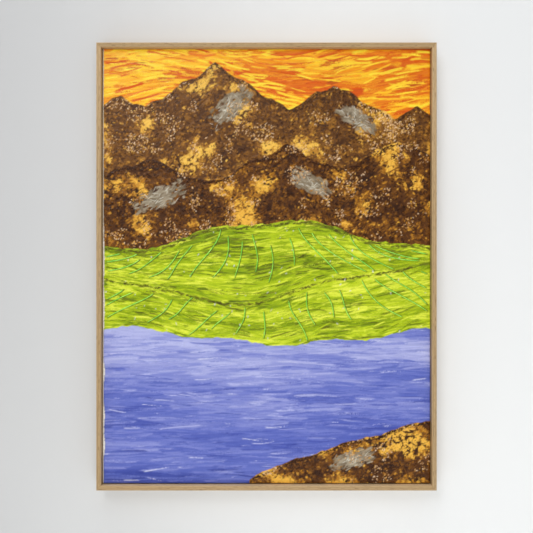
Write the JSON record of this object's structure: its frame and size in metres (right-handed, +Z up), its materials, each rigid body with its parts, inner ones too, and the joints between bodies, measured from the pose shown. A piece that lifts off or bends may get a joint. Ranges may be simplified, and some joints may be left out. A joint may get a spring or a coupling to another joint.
{
  "type": "framed painting",
  "caption": "Framed painting: a painted canvas on wooden stretcher bars, set with a shadow gap in a thin light-oak float frame that hangs flat on a wall from a sawtooth hanger.",
  "frame": {"origin": "the point where the wall's nail carries the sawtooth hanger: the top of its middle notch, in the plane of the wall", "axes": "+X to the right as seen from the front, +Y from the picture into the wall, +Z up; the picture faces -Y"},
  "size_m": [0.4748, 0.0395, 0.6248],
  "materials": {
    "oak_frame": "light oak, fine grain, thin matt oil",
    "pine_bars": "planed raw pine",
    "wedge_wood": "raw hardwood, sawn",
    "canvas": "plain-weave cotton, white acrylic primer on its face",
    "paint_orange": "acrylic paint, satin, brushed",
    "paint_ochre_brown": "acrylic paint, satin, dabbed",
    "paint_dark_brown": "acrylic paint, satin, dabbed",
    "paint_olive_green": "acrylic paint, glossy, brushed, with raised lines",
    "paint_yellow_green": "acrylic paint, glossy, brushed, with raised lines",
    "paint_blue": "acrylic paint, satin, brushed across",
    "steel": "zinc-plated",
    "hanger_metal": "brass-plated steel",
    "bumper_rubber": "soft translucent grey"
  },
  "bodies": {
    "root": {"frame_rail_left": "oak_frame", "frame_rail_top": "oak_frame", "frame_rail_right": "oak_frame", "frame_rail_bottom": "oak_frame", "stretcher_bar_left": "pine_bars", "stretcher_bar_top": "pine_bars", "stretcher_bar_right": "pine_bars", "stretcher_bar_bottom": "pine_bars", "key_bottom_left_a": "wedge_wood", "key_bottom_left_b": "wedge_wood", "key_bottom_right_a": "wedge_wood", "key_bottom_right_b": "wedge_wood", "key_top_left_a": "wedge_wood", "key_top_left_b": "wedge_wood", "key_top_right_a": "wedge_wood", "key_top_right_b": "wedge_wood", "canvas": "canvas", "paint_sky": "paint_orange", "paint_far_range": "paint_ochre_brown", "paint_near_range": "paint_dark_brown", "paint_back_hills": "paint_olive_green", "paint_front_hills": "paint_yellow_green", "paint_water": "paint_blue", "paint_bank": "paint_dark_brown", "screw_left_1": "steel", "screw_left_2": "steel", "screw_right_1": "steel", "screw_right_2": "steel", "screw_top_1": "steel", "screw_top_2": "steel", "screw_bottom_1": "steel", "screw_bottom_2": "steel", "mitre_fastener_bottom_left": "steel", "mitre_fastener_bottom_right": "steel", "mitre_fastener_top_left": "steel", "mitre_fastener_top_right": "steel", "sawtooth_hanger": "hanger_metal", "hanger_nail_left": "hanger_metal", "hanger_nail_right": "hanger_metal", "wall_bumper_bottom_left": "bumper_rubber", "wall_bumper_bottom_right": "bumper_rubber", "wall_bumper_top_left": "bumper_rubber", "wall_bumper_top_right": "bumper_rubber"}
  },
  "joints": []
}
